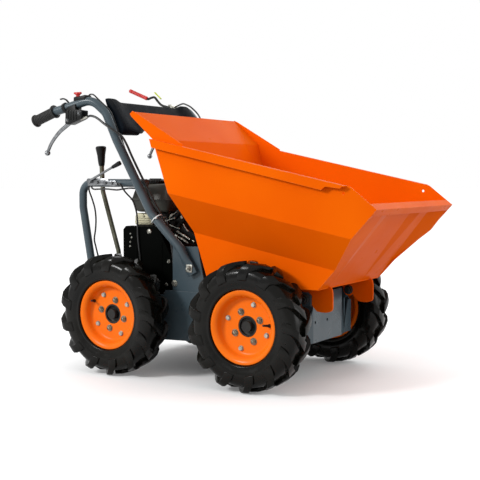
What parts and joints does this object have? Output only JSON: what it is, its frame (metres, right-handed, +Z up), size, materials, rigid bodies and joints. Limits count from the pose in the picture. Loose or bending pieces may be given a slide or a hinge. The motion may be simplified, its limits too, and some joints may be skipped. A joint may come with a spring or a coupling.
{
  "type": "site dumper",
  "caption": "Walk-behind site dumper: all-wheel-drive chassis with engine, handlebars and levers behind, and a steel skip that tips forward.",
  "frame": {"origin": "on the ground, at the middle of the machine's length and width", "axes": "+X forwards, towards the skip's lip; +Y to the operator's left; +Z up"},
  "size_m": [1.3208, 0.7, 1.0158],
  "materials": {
    "skip_paint": "gloss orange powder coat",
    "frame_paint": "semi-gloss blue-grey powder coat",
    "dark_paint": "semi-gloss near-black paint",
    "black_steel": "gloss black paint",
    "tyre": "matte moulded rubber",
    "grip_rubber": "matte ribbed rubber",
    "black_plastic": "fine-grained moulded plastic",
    "cast_alloy": "sand-cast, slightly rough",
    "red_plastic": "dipped red vinyl over a steel arm",
    "cable_sheath": "extruded cable sheath"
  },
  "bodies": {
    "chassis": {"air_filter": "black_plastic", "axle_front": "dark_paint", "axle_rear": "dark_paint", "belt_guard": "black_steel", "chassis_front_plate": "frame_paint", "chassis_side_left": "frame_paint", "chassis_side_right": "frame_paint", "console": "dark_paint", "drive_cable_left": "cable_sheath", "drive_cable_right": "cable_sheath", "drive_lever_left": "black_plastic", "drive_lever_right": "black_plastic", "engine_block": "cast_alloy", "engine_deck": "frame_paint", "fuel_tank": "dark_paint", "gear_lever": "cast_alloy", "grip_left": "grip_rubber", "grip_right": "grip_rubber", "handlebar_left": "frame_paint", "handlebar_right": "frame_paint", "hoop_cable_front": "cable_sheath", "hoop_cable_middle": "cable_sheath", "hoop_cable_rear": "cable_sheath", "hoop_lever": "black_plastic", "muffler": "black_steel", "pivot_lugs": "frame_paint", "rear_hoop_left": "frame_paint", "rear_hoop_right": "frame_paint", "recoil_starter": "black_steel", "skip_deck": "frame_paint", "stop_switch": "black_plastic", "thumb_lever": "black_plastic", "tip_cable": "cable_sheath", "tip_lever": "red_plastic", "upstands": "frame_paint"},
    "skip": {"skip_back": "skip_paint", "skip_bracket_left": "skip_paint", "skip_bracket_right": "skip_paint", "skip_floor": "skip_paint", "skip_front": "skip_paint", "skip_side_left": "skip_paint", "skip_side_right": "skip_paint"},
    "right_front_wheel": {"tyre_front_right": "tyre", "wheel_front_right": "skip_paint"},
    "left_front_wheel": {"tyre_front_left": "tyre", "wheel_front_left": "skip_paint"},
    "right_rear_wheel": {"tyre_rear_right": "tyre", "wheel_rear_right": "skip_paint"},
    "left_rear_wheel": {"tyre_rear_left": "tyre", "wheel_rear_left": "skip_paint"}
  },
  "joints": [
    {"name": "skip_tip", "type": "hinge", "parent": "chassis", "child": "skip", "pos_m": [0.3564, 0, 0.283], "axis": [0, 1, 0], "range_deg": [0, 75]},
    {"name": "right_front_wheel_spin", "type": "hinge", "parent": "chassis", "child": "right_front_wheel", "pos_m": [0.2254, -0.297, 0.204], "axis": [0, 1, 0], "continuous": true},
    {"name": "left_front_wheel_spin", "type": "hinge", "parent": "chassis", "child": "left_front_wheel", "pos_m": [0.2254, 0.297, 0.204], "axis": [0, 1, 0], "continuous": true},
    {"name": "right_rear_wheel_spin", "type": "hinge", "parent": "chassis", "child": "right_rear_wheel", "pos_m": [-0.3076, -0.297, 0.204], "axis": [0, 1, 0], "continuous": true},
    {"name": "left_rear_wheel_spin", "type": "hinge", "parent": "chassis", "child": "left_rear_wheel", "pos_m": [-0.3076, 0.297, 0.204], "axis": [0, 1, 0], "continuous": true}
  ]
}
